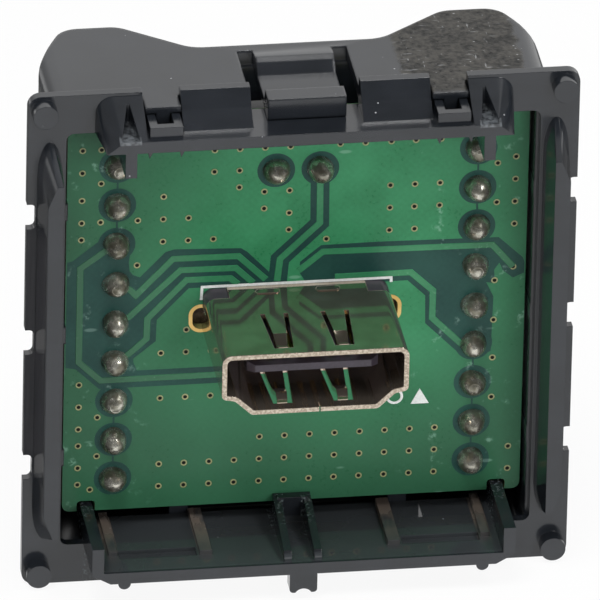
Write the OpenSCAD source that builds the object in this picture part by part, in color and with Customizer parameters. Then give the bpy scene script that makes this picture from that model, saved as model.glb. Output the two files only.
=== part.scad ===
// Flush-mount video socket insert: moulded frame and rear shell, circuit board,
// upright receptacle and screw terminals behind the board.
// X points right, Z up and Y into the wall. The origin is the middle of the plate's front face.

/* [Front frame] */
// Width and height of the square plate
plate_size = 43.6; // [42:0.2:50]
// Thickness of the plate
plate_t = 0.8; // [0.7:0.1:1.2]
// Radius of the plate's corners
plate_corner_r = 1; // [0.5:0.1:2]
// Plate left beside the window
border_side = 3.05; // [2.8:0.05:3.4]
// Plate left above and below the window
border_end = 3.4; // [3.2:0.05:3.8]
// Height of the top and side upstands in front of the plate
wall_rise = 3.8; // [3.4:0.1:5]
// Height of the floor in front of the plate
floor_rise = 5; // [4:0.1:7]
// Thickness of the top upstand and the floor
end_wall_t = 1; // [0.8:0.05:1.2]
// Thickness of the side upstands
side_wall_t = 1.25; // [1:0.05:1.5]
// Ledge between the window and a side upstand
side_ledge = 0.65; // [0.3:0.05:0.8]
// Diameter of a corner stud
stud_d = 2; // [1.6:0.1:2.4]
// Height of a corner stud
stud_h = 1.2; // [0.8:0.1:2]
// Distance of a stud's centre from the plate's edges
stud_inset = 1.25; // [1.2:0.05:1.5]
// Width of the notches in the plate's side edges
edge_notch_w = 2.2; // [1.5:0.1:3]
// Depth of those notches
edge_notch_depth = 0.7; // [0.4:0.1:1]
// Spacing of those notches
edge_notch_pitch = 11.2; // [8:0.1:13]

/* [Rear shell] */
// Wall thickness of the rear shell
shell_t = 1.1; // [1:0.1:1.4]
// Room between the board's side edges and the shell
shell_room_side = 0.45; // [0.3:0.05:0.8]
// Room between the top upstand or the floor and the shell
shell_room_end = 0.5; // [0.3:0.05:0.6]
// Sideways offset of the shell's lobed body from the plate
shell_shift = -0.25; // [-0.25:0.05:0.25]
// Radius of the shell's long edges
shell_edge_r = 1.5; // [1.2:0.1:3]
// Room behind the board between the lobes
waist_room = 3.2; // [2.6:0.1:4]
// Width of the latch tongue
latch_w = 6.2; // [5:0.1:7]
// Slot on each side of the latch tongue
latch_slot = 1.25; // [0.8:0.05:1.4]

/* [Circuit board] */
// Thickness of the board
board_t = 1.6; // [1.2:0.1:2]
// Distance from the plate's front face back to the board
board_setback = 2.5; // [2:0.1:3.5]
// Gap between the board and the window's sides
board_gap_side = 0.45; // [0.2:0.05:0.6]
// Gap between the board and the window's top edge
board_gap_top = 0.75; // [0.3:0.05:1]
// Gap between the board and the window's bottom edge
board_gap_bottom = 1.55; // [1:0.05:1.8]

/* [Receptacle] */
// Width of the receptacle's opening
mouth_w = 14; // [13.8:0.05:14.2]
// Height of the receptacle's opening
mouth_h = 4.55; // [4.4:0.05:4.7]
// Thickness of the receptacle's sheet metal
sheet_t = 0.4; // [0.3:0.05:0.45]
// Length of the receptacle in front of the board
receptacle_l = 11.2; // [10:0.1:14]
// Depth of the insulator's base in front of the board
base_depth = 2.7; // [2:0.1:3.5]
// Width of the contact tongue
tongue_w = 10.4; // [10.1:0.1:11]
// Thickness of the contact tongue
tongue_t = 0.9; // [0.8:0.05:1]
// Height of the tongue's middle above the middle of the opening
tongue_lift = 0.7; // [0.5:0.05:0.8]
// Distance of the tongue's tip behind the mouth
tongue_recess = 1.3; // [0.8:0.1:2]
// Spacing of the contacts in one row
contact_pitch = 1; // [0.95:0.01:1.05]
// Width of a contact
contact_w = 0.4; // [0.3:0.02:0.44]
// Thickness of a contact
contact_t = 0.2; // [0.15:0.01:0.25]

/* [Terminals] */
// Spacing of the terminal ways
way_pitch = 3.5; // [3.4:0.05:3.6]
// Distance of a terminal column from the board's side edge
column_inset = 4; // [3.9:0.05:4.2]
// Distance of the top pair of terminals below the board's top edge
top_pair_inset = 4.75; // [4.4:0.05:5.5]
// Height of a terminal housing behind the board
housing_h = 8.1; // [7.8:0.1:9]
// Depth of a terminal housing across its row
housing_depth = 6; // [5.6:0.1:6.2]
// Diameter of a terminal pin
pin_d = 0.9; // [0.7:0.05:1]
// Diameter of a terminal pin's hole in the board
pin_hole_d = 1.2; // [1.15:0.05:1.4]
// Diameter of a terminal screw's thread
screw_d = 1.6; // [1.4:0.1:1.6]
// Diameter of a solder joint on the board
joint_d = 2.1; // [1.7:0.1:2.4]
// Height of a solder joint
joint_h = 1.2; // [0.8:0.1:1.4]

/* [Hidden] */
$fn = 32;

// Steps in each rounded corner of an outline
arc_steps = 6;
// How far a cut runs past a face, or a joined form runs into its neighbour
past = 0.2;
// Gap between pieces that slide together
slip = 0.1;

// Plate and window
plate_half = plate_size / 2;
window_half_w = plate_half - border_side;
window_half_h = plate_half - border_end;
stud_at = plate_half - stud_inset;

// Upstands: the top one and the floor line up with the window's edges
top_wall_out = window_half_h + end_wall_t;
side_wall_in = window_half_w + side_ledge;
side_wall_out = side_wall_in + side_wall_t;
// The side upstands end short of the corners, further on the inside than on the outside
side_wall_end_in = window_half_h - 2.65;
side_wall_end_out = window_half_h - 4.5;
side_wall_mid = side_wall_in + 0.5;
// Their feet spread over the plate, with long pointed ends
side_foot_w = side_wall_t / 2 + 0.37;
side_foot_end = window_half_h - 0.65;
side_foot_nose = 3;
top_wall_end_in = window_half_w - 2.7;
top_wall_end_out = window_half_w - 4;

// Latch and snap loops share the plate's top bar
latch_gap = latch_w / 2 + latch_slot;
ramp_out = latch_gap + 5.5;
loop_gap_out = ramp_out + 3;
loop_mid = (ramp_out + loop_gap_out) / 2;
loop_w = 2.6;
loop_bar = 0.65;
loop_rise = 1;
loop_reach = 3.4;
loop_hole_back = 0.6;

// Board
board_front = board_setback;
board_back = board_setback + board_t;
board_half_w = window_half_w - board_gap_side;
board_top = window_half_h - board_gap_top;
board_bottom = -window_half_h + board_gap_bottom;
board_seat = 0.05;

// Posts on the floor stand in the board's notches
post_w = 0.95;
post_at = window_half_w - 2.35;
post_top = board_bottom + 0.65;
post_play = 0.25;
notch_half_w = post_w / 2 + post_play;

// Ribs that hold the board from the front
hold_rib_w = 0.92;
hold_rib_at = board_half_w - column_inset - 0.15;
hold_rib_z = board_top - 1.4;

// Rear shell, seen from above
shell_front = plate_t;
shell_half_w = board_half_w + shell_room_side + shell_t;
shell_half_h = top_wall_out + shell_room_end + shell_t;
column_x = board_half_w - column_inset;
top_pair_z = board_top - top_pair_inset;
lobe_back = board_back + housing_h + 0.3;
waist_back = board_back + waist_room + shell_t;
shoulder_y = board_back + 3.3;
lobe_in = column_x - 1.4;
lobe_out = column_x + 3;
waist_x = column_x - 6.8;

// Terminal housing, across its row: Z points away from the wire side
housing_half = housing_depth / 2;
nose_in = 1.4;
nose_out = 1.7;
way_count = 9;
pair_count = 2;
housing_end = 0.25;
housing_floor = 1;
cage_w = 2.6;
cage_l = 3.2;
cage_h = 5;
cage_wall = 0.5;
cage_top = 1;
cage_play = 0.05;
screw_tip = 3.2;
screw_head_d = screw_d + 0.6;
screw_head_h = 1.4;
screw_slot_w = 0.5;
screw_slot_depth = 0.6;
screw_room = 0.1;
rivet_d = pin_d + 0.4;
rivet_h = 0.3;
pin_tip = 0.05;
pin_play = 0.05;
window_play = 0.25;

// Receptacle
mouth_y = board_front - receptacle_l;
base_front = board_front - base_depth;
tongue_tip = mouth_y + tongue_recess;
shell_out_w = mouth_w / 2 + sheet_t;
shell_out_h = mouth_h / 2 + sheet_t;
tongue_top = tongue_lift + tongue_t / 2;
tongue_under = tongue_lift - tongue_t / 2;
upper_count = 10;
lower_count = 9;
contact_tip = tongue_tip + 0.9;
tail_out = 0.8;
tail_hole_d = 0.6;
leg_w = 1.4;
leg_slot_w = 1.35;
leg_slot_l = 1.9;
leg_slot_r = 0.6;
leg_open = 0.9;
leg_slot_at = shell_out_w + 0.1;
spring_at = 2.4;
spring_back_w = 1.5;
spring_front_w = 0.8;
spring_slot = 0.36;
spring_back = board_front - 4.7;
spring_front = mouth_y + 0.9;
spring_gap = 0.4;
spring_tip = spring_front + spring_gap;
spring_dip = 0.45;
insulator_play = 0.05;
shoulder_w = 1.9;
shoulder_l = 1.8;
shoulder_foot = 1.2;
seam_at = 0.4;
seam_w = 0.1;
seam_l = 0.8;
boss_half_w = 0.95;
boss_half_l = 0.32;
boss_h = 0.1;
boss_at = board_front - 1.1;

housing_colour = [0.29, 0.30, 0.32];
board_colour = [0.16, 0.42, 0.27];
block_colour = [0.17, 0.17, 0.18];
nickel_colour = [0.80, 0.78, 0.74];
solder_colour = [0.66, 0.65, 0.62];
brass_colour = [0.85, 0.68, 0.32];
black_colour = [0.10, 0.10, 0.11];

// Outlines: each point is [across, along, corner radius], counter-clockwise

function unit(v) = v / norm(v);
function flat(p) = [p.x, p.y];
function before(points, i) = flat(points[(i + len(points) - 1) % len(points)]);
function after(points, i) = flat(points[(i + 1) % len(points)]);

// The arc that rounds one corner
function corner_arc(a, b, c, r) =
    let(
        u = unit(a - b),
        v = unit(c - b),
        half = acos(u * v) / 2,
        centre = b + unit(u + v) * r / sin(half),
        from = b + u * r / tan(half) - centre,
        to = b + v * r / tan(half) - centre,
        start = atan2(from.y, from.x),
        sweep = atan2(cross(from, to), from * to)
    )
    [
        for (k = [0 : arc_steps])
            let(a = start + sweep * k / arc_steps)
            centre + r * [cos(a), sin(a)]
    ];

function rounded(points) = [
    for (i = [0 : len(points) - 1])
        each points[i].z == 0
            ? [flat(points[i])]
            : corner_arc(before(points, i), flat(points[i]), after(points, i), points[i].z)
];

// The same outline moved inwards by d, with its radii following
function inset(points, d) = [
    for (i = [0 : len(points) - 1])
        let(
            e = unit(flat(points[i]) - before(points, i)),
            f = unit(after(points, i) - flat(points[i])),
            shift = ([-e.y, e.x] + [-f.y, f.x]) / (1 + e * f),
            r = points[i].z == 0 ? 0 : max(points[i].z - d * sign(cross(e, f)), 0.1)
        )
        [points[i].x + d * shift.x, points[i].y + d * shift.y, r]
];

// A symmetric outline from its right half
function mirrored(half) = concat(
    half,
    [for (i = [len(half) - 1 : -1 : 0]) [-half[i].x, half[i].y, half[i].z]]
);

function block_points(w, h, r) = [[w, -h, r], [w, h, r], [-w, h, r], [-w, -h, r]];

// A front-view shape, from the first to the second depth
module along_y(from, to) {
    translate([0, to, 0]) rotate([90, 0, 0]) linear_extrude(to - from) children();
}

// A side-view shape of [Y, Z] points, from the first to the second X
module along_x(from, to) {
    translate([from, 0, 0]) rotate([90, 0, 90]) linear_extrude(to - from) children();
}

module box(low, high) {
    translate(low) cube(high - low);
}

module both_sides() {
    children();
    mirror([1, 0, 0]) children();
}

// Front frame

module plate_outline() {
    difference() {
        polygon(rounded(block_points(plate_half, plate_half, plate_corner_r)));
        polygon(rounded(block_points(window_half_w, window_half_h, 0.6)));
        for (side = [-1, 1], z = [-1 : 1])
            translate([side * plate_half, z * edge_notch_pitch])
                polygon(rounded(block_points(edge_notch_depth, edge_notch_w / 2, 0.4)));
        translate([-latch_gap, top_wall_out]) square([2 * latch_gap, plate_half]);
        for (side = [-1, 1])
            translate([side * loop_mid - (loop_gap_out - ramp_out) / 2, top_wall_out])
                square([loop_gap_out - ramp_out, plate_half]);
    }
}

// Top upstand with its ends cut back
module top_wall() {
    along_y(-wall_rise, past)
        polygon([
            [-top_wall_end_in, window_half_h], [top_wall_end_in, window_half_h],
            [top_wall_end_out, top_wall_out], [-top_wall_end_out, top_wall_out]
        ]);
}

// Side upstand: a flat top with its outer corners cut off, over a wider foot with pointed ends
module side_wall() {
    hull() {
        along_y(-wall_rise, -wall_rise + past)
            polygon([
                [side_wall_in, -side_wall_end_in], [side_wall_mid, -side_wall_end_in],
                [side_wall_out, -side_wall_end_out], [side_wall_out, side_wall_end_out],
                [side_wall_mid, side_wall_end_in], [side_wall_in, side_wall_end_in]
            ]);
        for (end = [-1, 1])
            along_y(-past / 4, past)
                translate([(side_wall_in + side_wall_out) / 2, end * (side_foot_end - side_foot_nose)])
                    scale([side_foot_w, side_foot_nose]) circle(r = 1);
    }
}

// Ramp from the top upstand up to the plate's top edge, in two slopes
module lead_in_ramp() {
    along_x(latch_gap, ramp_out)
        polygon([
            [past, top_wall_out - past], [past, plate_half], [0, plate_half],
            [-0.9, plate_half - 1.3], [-2.4, top_wall_out], [-2.4, top_wall_out - past]
        ]);
}

// Gusset at the end of the top upstand: it spreads to a rounded foot on the plate,
// and a pocket that narrows towards the plate is cut in it
module gusset() {
    foot_out = top_wall_end_in + 0.45;
    foot_top = plate_half - 0.25;
    pocket_in = loop_gap_out + 0.55;
    pocket_out = pocket_in + 1.6;
    difference() {
        hull() {
            along_y(-wall_rise, -wall_rise + past)
                polygon([
                    [loop_gap_out, window_half_h], [top_wall_end_in, window_half_h],
                    [top_wall_end_out, top_wall_out], [loop_gap_out, top_wall_out]
                ]);
            along_y(-past / 4, past)
                polygon(rounded([
                    [loop_gap_out, window_half_h, 0], [foot_out, window_half_h, 0],
                    [foot_out, foot_top, 1.4], [loop_gap_out, foot_top, 0]
                ]));
        }
        translate([0, 0, top_wall_out]) linear_extrude(plate_half)
            polygon([
                [pocket_in, -wall_rise - past], [pocket_out, -wall_rise - past],
                [pocket_in + 0.75, -0.7], [pocket_in + 0.55, -0.7]
            ]);
    }
}

// Loop that a snap arm of the rear shell hooks into
module snap_loop() {
    difference() {
        box([loop_mid - loop_w / 2, -loop_reach, top_wall_out - past],
            [loop_mid + loop_w / 2, past, top_wall_out + loop_rise]);
        box([loop_mid - loop_w / 2 + loop_bar, -loop_reach + loop_bar, top_wall_out],
            [loop_mid + loop_w / 2 - loop_bar, -loop_hole_back, plate_half]);
        box([loop_mid - loop_w / 2 - past, -loop_hole_back, top_wall_out],
            [loop_mid + loop_w / 2 + past, plate_t + past, plate_half]);
    }
}

// Small teeth under the top upstand, below each loop
module loop_teeth() {
    for (x = [loop_mid - loop_w / 2 + 0.05, loop_mid + loop_w / 2 - 0.05])
        along_y(-loop_reach - 0.2, -loop_reach + 1.2)
            polygon([
                [x - 0.3, window_half_h + past],
                [x + 0.1, window_half_h - 0.6],
                [x + 0.3, window_half_h + past]
            ]);
}

// Floor with its ribs, pockets and end posts, and two sloping rails joined in front of the board
module floor_wall() {
    floor_in = -window_half_h;
    floor_out = floor_in - end_wall_t;
    floor_end = post_at + post_w / 2;
    nub_at = floor_end - 2.6;
    nub_r = 0.5;
    rib_h = 0.4;
    rail_h = 0.75;
    rail_at = 1.2;
    rail_w = 0.6;
    rail_front = -floor_rise + 0.4;
    rail_back = board_front - board_seat;
    rail_top = board_bottom + 0.7;
    difference() {
        along_y(-floor_rise, board_back)
            polygon([
                [-floor_end, floor_in], [-floor_end, floor_in - 0.15],
                [-floor_end + 1.5, floor_out], [floor_end - 1.5, floor_out],
                [floor_end, floor_in - 0.15], [floor_end, floor_in]
            ]);
        both_sides() box([8.2, -2.8, floor_in - 0.35], [14.4, -1.5, floor_in + past]);
    }
    both_sides() {
        along_x(rail_at - rail_w / 2, rail_at + rail_w / 2)
            polygon([
                [rail_front, floor_in - past], [rail_front, floor_in + rail_h / 2],
                [rail_front + 0.4, floor_in + rail_h], [rail_back, rail_top], [rail_back, floor_in - past]
            ]);
        box([7, -2.8, floor_in - past], [8, board_back, floor_in + rib_h]);
        box([14.5, -2.3, floor_in - past], [15.2, board_back, floor_in + rib_h]);
        box([post_at - post_w / 2, -floor_rise, floor_in - past],
            [post_at + post_w / 2, board_back, post_top]);
        translate([nub_at, -floor_rise, floor_out])
            rotate([-90, 0, 0]) cylinder(r = nub_r, h = floor_rise - past);
    }
    box([-rail_at, rail_back - 0.8, floor_in - past], [rail_at, rail_back, rail_top]);
    bottom_catch(floor_out);
}

// Forked catch below the middle of the floor
module bottom_catch(z) {
    catch_half = 1.1;
    catch_h = 1.45;
    along_y(-floor_rise, -floor_rise + 1.3)
        difference() {
            translate([0, z - catch_h / 2])
                polygon(rounded(block_points(catch_half, catch_h / 2 + past, 0.3)));
            translate([0, z - catch_h - 3 * past]) circle(r = 0.75);
        }
}

module front_frame() {
    color(housing_colour) {
        along_y(0, plate_t) plate_outline();
        top_wall();
        both_sides() {
            side_wall();
            lead_in_ramp();
            gusset();
            snap_loop();
            loop_teeth();
            box([hold_rib_at - hold_rib_w / 2, -wall_rise, hold_rib_z],
                [hold_rib_at + hold_rib_w / 2, board_front - board_seat, window_half_h + past]);
        }
        floor_wall();
        for (x = [-stud_at, stud_at], z = [-stud_at, stud_at])
            translate([x, past, z]) rotate([90, 0, 0]) cylinder(d = stud_d, h = stud_h + past);
    }
}

// Rear shell

// The lobed outline seen from above, open towards the front
function shell_plan(front) = mirrored([
    [shell_half_w, front, 0],
    [shell_half_w, shoulder_y, 4],
    [lobe_out, lobe_back, 2],
    [lobe_in, lobe_back, 2.2],
    [waist_x, waist_back, 3]
]);

module shell_form() {
    translate([shell_shift, 0, 0]) intersection() {
        translate([0, 0, -plate_half]) linear_extrude(plate_size)
            polygon(rounded(shell_plan(shell_front)));
        along_y(shell_front, lobe_back)
            polygon(rounded(block_points(shell_half_w, shell_half_h, shell_edge_r)));
    }
}

module shell_cavity() {
    translate([shell_shift, 0, 0]) intersection() {
        translate([0, 0, -plate_half]) linear_extrude(plate_size)
            polygon(rounded(inset(shell_plan(shell_front - 3 * shell_t), shell_t)));
        along_y(shell_front - past, lobe_back)
            polygon(rounded(inset(block_points(shell_half_w, shell_half_h, shell_edge_r), shell_t)));
    }
}

// Windows in the back: one along each terminal column and one over the wire space
module shell_windows() {
    column_half = way_count * way_pitch / 2 + housing_end + window_play;
    pair_half = pair_count * way_pitch / 2 + housing_end + window_play;
    both_sides()
        box([column_x - housing_half + window_play, board_back + housing_h / 2, -column_half],
            [lobe_out - 0.4, lobe_back + past, column_half]);
    box([-5.5, board_back, -13], [5.5, lobe_back, top_pair_z - housing_half - 0.5]);
    box([-pair_half, board_back, 0], [pair_half, lobe_back, top_pair_z + housing_half + 0.7]);
}

// Side view of the latch tongue: ridge, release recess and hook, from back to front
module latch_profile() {
    under = top_wall_out + slip;
    deck = shell_half_h;
    root = waist_back - 1;
    polygon([
        [root, deck - shell_t], [root, deck], [root - 0.9, deck + 0.22], [root - 1.6, deck + 0.3],
        [root - 2.2, deck + 0.12], [root - 3, deck - 0.7], [0.7, deck - 0.7], [0.4, deck + 0.25],
        [-1.35, deck + 0.25], [-1.35, under], [root - 3, under]
    ]);
}

// Arm that reaches through the plate and hooks into a snap loop
module snap_arm() {
    arm_half = (loop_gap_out - ramp_out) / 2 - slip;
    arm_under = top_wall_out + loop_rise + slip;
    nose_half = loop_w / 2 - loop_bar - slip;
    box([loop_mid - arm_half, -1.2, arm_under], [loop_mid + arm_half, shell_front + past, shell_half_h]);
    box([loop_mid - nose_half, -1.2, top_wall_out + slip],
        [loop_mid + nose_half, -loop_hole_back - slip, shell_half_h]);
}

// Stepped ribs inside that carry the board and keep it in place
module board_ribs() {
    rib_w = 1.5;
    board_overlap = 0.5;
    for (z = [-11, 0, 11])
        both_sides() {
            box([board_half_w - board_overlap, board_back, z - rib_w / 2],
                [shell_half_w - shell_t / 2, shoulder_y, z + rib_w / 2]);
            box([board_half_w + 0.15, shell_front, z - rib_w / 2],
                [shell_half_w - shell_t / 2, board_back + past, z + rib_w / 2]);
        }
    both_sides() {
        box([8, board_back, board_top - 1], [9.5, waist_back - 0.4, shell_half_h - 0.4]);
        box([8, board_back, -shell_half_h + 0.4], [9.5, waist_back - 0.4, board_bottom + 1]);
    }
}

module rear_shell() {
    color(housing_colour) {
        difference() {
            shell_form();
            shell_cavity();
            shell_windows();
            box([-latch_gap, shell_front - past, shell_half_h - shell_t - past],
                [latch_gap, waist_back - 1, plate_half]);
        }
        along_x(-latch_w / 2, latch_w / 2) latch_profile();
        both_sides() snap_arm();
        board_ribs();
    }
}

// Circuit board

module leg_slot() {
    polygon(rounded(block_points(leg_slot_w / 2, leg_slot_l / 2, leg_slot_r)));
}

module board_outline() {
    difference() {
        translate([0, (board_top + board_bottom) / 2])
            polygon(rounded(block_points(board_half_w, (board_top - board_bottom) / 2, 0.6)));
        for (side = [-1, 1])
            translate([side * post_at, board_bottom])
                polygon(rounded(block_points(notch_half_w, post_top - board_bottom + post_play, 0.3)));
        for (side = [-1, 1], i = [0 : way_count - 1])
            translate([side * column_x, (i - (way_count - 1) / 2) * way_pitch]) circle(d = pin_hole_d);
        for (side = [-1, 1])
            translate([side * way_pitch / 2, top_pair_z]) circle(d = pin_hole_d);
        for (side = [-1, 1])
            translate([side * leg_slot_at, 0]) leg_slot();
        each_tail(upper_count) translate([0, upper_z()]) circle(d = tail_hole_d);
        each_tail(lower_count) translate([0, lower_z()]) circle(d = tail_hole_d);
    }
}

module circuit_board() {
    color(board_colour) along_y(board_front, board_back) board_outline();
}

// Receptacle

function upper_z() = tongue_top + contact_t / 2;
function lower_z() = tongue_under - contact_t / 2;

function receptacle_points() = mirrored([
    [5, -shell_out_h, 0.5],
    [6.35, -1.4, 0.5],
    [shell_out_w, -1.2, 0.45],
    [shell_out_w, shell_out_h, 0.8]
]);

module each_tail(count) {
    for (i = [0 : count - 1]) translate([(i - (count - 1) / 2) * contact_pitch, 0]) children();
}

// Slots that free one leaf spring, seen from above
module spring_slots() {
    for (side = [-1, 1])
        polygon([
            [side * spring_back_w / 2, spring_back],
            [side * (spring_back_w / 2 + spring_slot), spring_back],
            [side * (spring_front_w / 2 + spring_slot), spring_front],
            [side * spring_front_w / 2, spring_front]
        ]);
    translate([-spring_front_w / 2 - past, spring_tip - spring_gap])
        square([spring_front_w + 2 * past, spring_gap]);
}

// Leaf spring: it narrows towards its tip, dips into the mouth and turns up again
module spring_leaf(z) {
    knee = spring_tip + 2;
    bend = spring_tip + 0.7;
    tip_drop = 0.1;
    intersection() {
        along_x(-spring_back_w / 2, spring_back_w / 2)
            polygon([
                [spring_back + past, z], [knee, z], [bend, z - spring_dip], [spring_tip, z - tip_drop],
                [spring_tip, z - tip_drop + sheet_t], [bend, z - spring_dip + sheet_t],
                [knee, z + sheet_t], [spring_back + past, z + sheet_t]
            ]);
        linear_extrude(2 * shell_out_h)
            polygon([
                [-spring_back_w / 2, spring_back + past], [-spring_back_w / 2, spring_back],
                [-spring_front_w / 2, spring_tip], [spring_front_w / 2, spring_tip],
                [spring_back_w / 2, spring_back], [spring_back_w / 2, spring_back + past]
            ]);
    }
}

module leaf_cut() {
    polygon([
        [-spring_back_w / 2 - past, spring_back], [spring_back_w / 2 + past, spring_back],
        [spring_front_w / 2 + past, spring_tip], [-spring_front_w / 2 - past, spring_tip]
    ]);
}

module shell_leg() {
    box([mouth_w / 2, board_front - past, -leg_w / 2], [shell_out_w, board_back + tail_out, leg_w / 2]);
}

module receptacle_shell() {
    color(nickel_colour) {
        difference() {
            along_y(mouth_y, board_front) polygon(rounded(receptacle_points()));
            along_y(mouth_y - past, board_front + past) polygon(rounded(inset(receptacle_points(), sheet_t)));
            for (x = [-spring_at, spring_at]) translate([x, 0, -shell_out_h - past])
                linear_extrude(2 * (shell_out_h + past)) {
                    spring_slots();
                    leaf_cut();
                }
            both_sides()
                box([shell_out_w - shoulder_w, board_front - shoulder_l, shoulder_foot],
                    [shell_out_w + past, board_front + past, shell_out_h + past]);
            box([seam_at - seam_w / 2, mouth_y - past, -shell_out_h - past],
                [seam_at + seam_w / 2, mouth_y + seam_l, -mouth_h / 2 + past]);
        }
        for (x = [-spring_at, spring_at], up = [0, 1])
            translate([x, 0, 0]) mirror([0, 0, 1 - up]) spring_leaf(mouth_h / 2);
        for (x = [-spring_at, spring_at])
            translate([x, boss_at, shell_out_h - sheet_t / 2]) linear_extrude(sheet_t / 2 + boss_h)
                polygon(rounded(block_points(boss_half_w, boss_half_l, boss_half_l - 0.02)));
        both_sides() shell_leg();
    }
}

// Shoulder of the insulator that fills a cut-out corner of the shell
module insulator_shoulder() {
    intersection() {
        along_y(board_front - shoulder_l + insulator_play, board_front)
            polygon(rounded(inset(receptacle_points(), insulator_play)));
        translate([0, 0, shoulder_foot + insulator_play])
            box([shell_out_w - shoulder_w + insulator_play, board_front - shoulder_l, 0],
                [shell_out_w, board_front, shell_out_h]);
    }
}

module receptacle_insulator() {
    nose = 0.6;
    color(black_colour) difference() {
        union() {
            along_y(base_front, board_front)
                polygon(rounded(inset(receptacle_points(), sheet_t + insulator_play)));
            both_sides() insulator_shoulder();
            intersection() {
                along_x(-tongue_w / 2, tongue_w / 2)
                    polygon([
                        [base_front + past, tongue_under], [base_front + past, tongue_top],
                        [tongue_tip + nose, tongue_top], [tongue_tip, tongue_top - 0.15],
                        [tongue_tip, tongue_under + 0.15], [tongue_tip + nose, tongue_under]
                    ]);
                translate([0, 0, -mouth_h]) linear_extrude(2 * mouth_h)
                    polygon([
                        [-tongue_w / 2, base_front + past], [-tongue_w / 2, tongue_tip + nose],
                        [-tongue_w / 2 + nose, tongue_tip], [tongue_w / 2 - nose, tongue_tip],
                        [tongue_w / 2, tongue_tip + nose], [tongue_w / 2, base_front + past]
                    ]);
            }
        }
        contact_row(upper_count, upper_z());
        contact_row(lower_count, lower_z());
    }
}

// One row of straight contacts, from the tongue's tip through the board
module contact_row(count, z) {
    each_tail(count)
        box([-contact_w / 2, contact_tip, z - contact_t / 2],
            [contact_w / 2, board_back + tail_out, z + contact_t / 2]);
}

module upper_contacts() {
    color(brass_colour) contact_row(upper_count, upper_z());
}

module lower_contacts() {
    color(brass_colour) contact_row(lower_count, lower_z());
}

// Solder round each contact tail, filling its hole and wetting the back of the board
module tail_solder(z) {
    fillet_h = 0.45;
    fillet_d = 0.9;
    translate([0, 0, z]) rotate([-90, 0, 0]) {
        translate([0, 0, board_front]) cylinder(d = tail_hole_d, h = board_t);
        translate([0, 0, board_back]) cylinder(d1 = fillet_d, d2 = contact_w + 0.1, h = fillet_h);
    }
}

// Solder round each leg of the receptacle's shell, in the back of its slot
module leg_solder() {
    translate([leg_slot_at, 0, 0])
        along_y(board_front + leg_open, board_back + 0.4) leg_slot();
}

module receptacle_solder() {
    color(solder_colour) {
        difference() {
            union() {
                each_tail(upper_count) tail_solder(upper_z());
                each_tail(lower_count) tail_solder(lower_z());
            }
            contact_row(upper_count, upper_z());
            contact_row(lower_count, lower_z());
        }
        both_sides() difference() {
            leg_solder();
            shell_leg();
        }
    }
}

// Terminals: each row is made along X with its wire side towards -Z and its foot at Y = 0

module at_left() {
    translate([-column_x, board_back, 0]) rotate([0, -90, 0]) children();
}

module at_right() {
    translate([column_x, board_back, 0]) rotate([0, 90, 0]) children();
}

module at_top() {
    translate([0, board_back, top_pair_z]) children();
}

module each_way(count) {
    for (i = [0 : count - 1]) translate([(i - (count - 1) / 2) * way_pitch, 0, 0]) children();
}

module terminal_housing(count) {
    half_l = count * way_pitch / 2 + housing_end;
    cavity_w = cage_w + 2 * cage_play;
    cavity_top = housing_floor + cage_h + cage_play;
    color(block_colour) difference() {
        along_x(-half_l, half_l)
            polygon([
                [0, -housing_half], [housing_h - 3.2, -housing_half], [housing_h, -nose_in],
                [housing_h, nose_out], [housing_h - 3.6, housing_half], [0, housing_half]
            ]);
        each_way(count) {
            box([-cavity_w / 2, housing_floor, -housing_half - past],
                [cavity_w / 2, cavity_top, cage_l / 2 + cage_play]);
            rotate([-90, 0, 0]) {
                translate([0, 0, -past]) cylinder(d = pin_d + 2 * pin_play, h = housing_floor + 2 * past);
                translate([0, 0, cavity_top - past])
                    cylinder(d = screw_head_d + 2 * screw_room, h = housing_h);
            }
        }
    }
}

module clamp_cages(count) {
    color(nickel_colour) each_way(count) difference() {
        box([-cage_w / 2, housing_floor, -cage_l / 2], [cage_w / 2, housing_floor + cage_h, cage_l / 2]);
        box([-cage_w / 2 + cage_wall, housing_floor + cage_wall, -cage_l / 2 - past],
            [cage_w / 2 - cage_wall, housing_floor + cage_h - cage_top, cage_l / 2 + past]);
        rotate([-90, 0, 0]) {
            cylinder(d = pin_d, h = housing_floor + cage_wall + past);
            translate([0, 0, housing_floor + cage_h - cage_top - past])
                cylinder(d = screw_d, h = cage_top + 2 * past);
        }
    }
}

module clamp_screws(count) {
    head_foot = housing_floor + cage_h;
    color(nickel_colour) each_way(count) difference() {
        rotate([-90, 0, 0]) {
            translate([0, 0, screw_tip]) cylinder(d = screw_d, h = head_foot - screw_tip + past);
            translate([0, 0, head_foot]) cylinder(d = screw_head_d, h = screw_head_h);
        }
        box([-screw_head_d, head_foot + screw_head_h - screw_slot_depth, -screw_slot_w / 2],
            [screw_head_d, head_foot + screw_head_h + past, screw_slot_w / 2]);
    }
}

module terminal_pins(count) {
    color(brass_colour) each_way(count) rotate([90, 0, 0]) {
        translate([0, 0, -housing_floor - cage_wall])
            cylinder(d = pin_d, h = housing_floor + cage_wall + board_t + joint_h + pin_tip);
        translate([0, 0, -housing_floor - cage_wall - rivet_h]) cylinder(d = rivet_d, h = rivet_h);
    }
}

// A solder joint: a dome round the pin on the board's front, filling the plated hole behind it
module solder_joints(count) {
    dome_steps = 6;
    color(solder_colour) each_way(count) rotate([90, 0, 0]) rotate_extrude()
        polygon(concat(
            [[pin_d / 2, 0], [pin_hole_d / 2, 0], [pin_hole_d / 2, board_t]],
            [for (k = [0 : dome_steps]) let(a = 90 * k / dome_steps)
                [pin_d / 2 + (joint_d - pin_d) / 2 * cos(a), board_t + joint_h * sin(a)]]
        ));
}

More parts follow.
